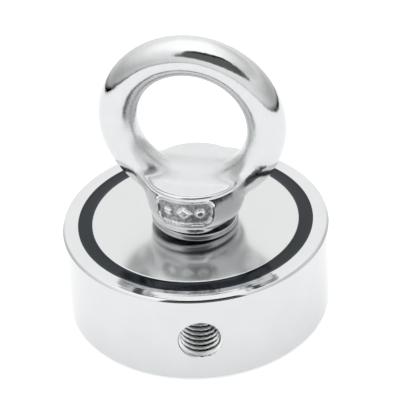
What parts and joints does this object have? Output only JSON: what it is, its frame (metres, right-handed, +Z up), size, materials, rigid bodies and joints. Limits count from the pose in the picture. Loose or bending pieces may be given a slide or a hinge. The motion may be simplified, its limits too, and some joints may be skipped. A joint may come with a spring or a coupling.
{
  "type": "magnet fishing magnet",
  "caption": "Round steel pot with a flush ring magnet potted in each face, a blind threaded hole in its side and a lifting eye bolt screwed into the centre over a split spring washer.",
  "frame": {"origin": "centre of the bottom face, on the surface the magnet stands on", "axes": "+Z up along the eye bolt's thread, -Y out of the threaded hole in the side"},
  "size_m": [0.048, 0.048, 0.0546],
  "materials": {
    "plated_steel": "bright nickel plate, mirror polished",
    "plated_magnet": "satin nickel plate",
    "potting_resin": "glossy black resin with a blue cast",
    "adhesive": "cured two-part adhesive",
    "spring_steel": "plated spring steel",
    "polished_steel": "cast stainless steel, polished by hand"
  },
  "bodies": {
    "magnet_body": {"housing": "plated_steel", "top_magnet": "plated_magnet", "bottom_magnet": "plated_magnet", "top_resin_ring": "potting_resin", "bottom_resin_ring": "potting_resin", "top_adhesive": "adhesive", "bottom_adhesive": "adhesive"},
    "lock_washer": {"spring_washer": "spring_steel"},
    "lifting_eye": {"eye_bolt": "polished_steel"}
  },
  "joints": [
    {"name": "eye_turn", "type": "hinge", "parent": "magnet_body", "child": "lock_washer", "pos_m": [0, 0, 0.0175], "axis": [0, 0, 1], "range_deg": [0, 2160]},
    {"name": "eye_travel", "type": "slide", "parent": "lock_washer", "child": "lifting_eye", "axis": [0, 0, 1], "range_m": [0, 0.00751]}
  ],
  "couplings": [
    {"joint": "eye_travel", "follows": "eye_turn", "m_per_rad": 0.00019894}
  ]
}
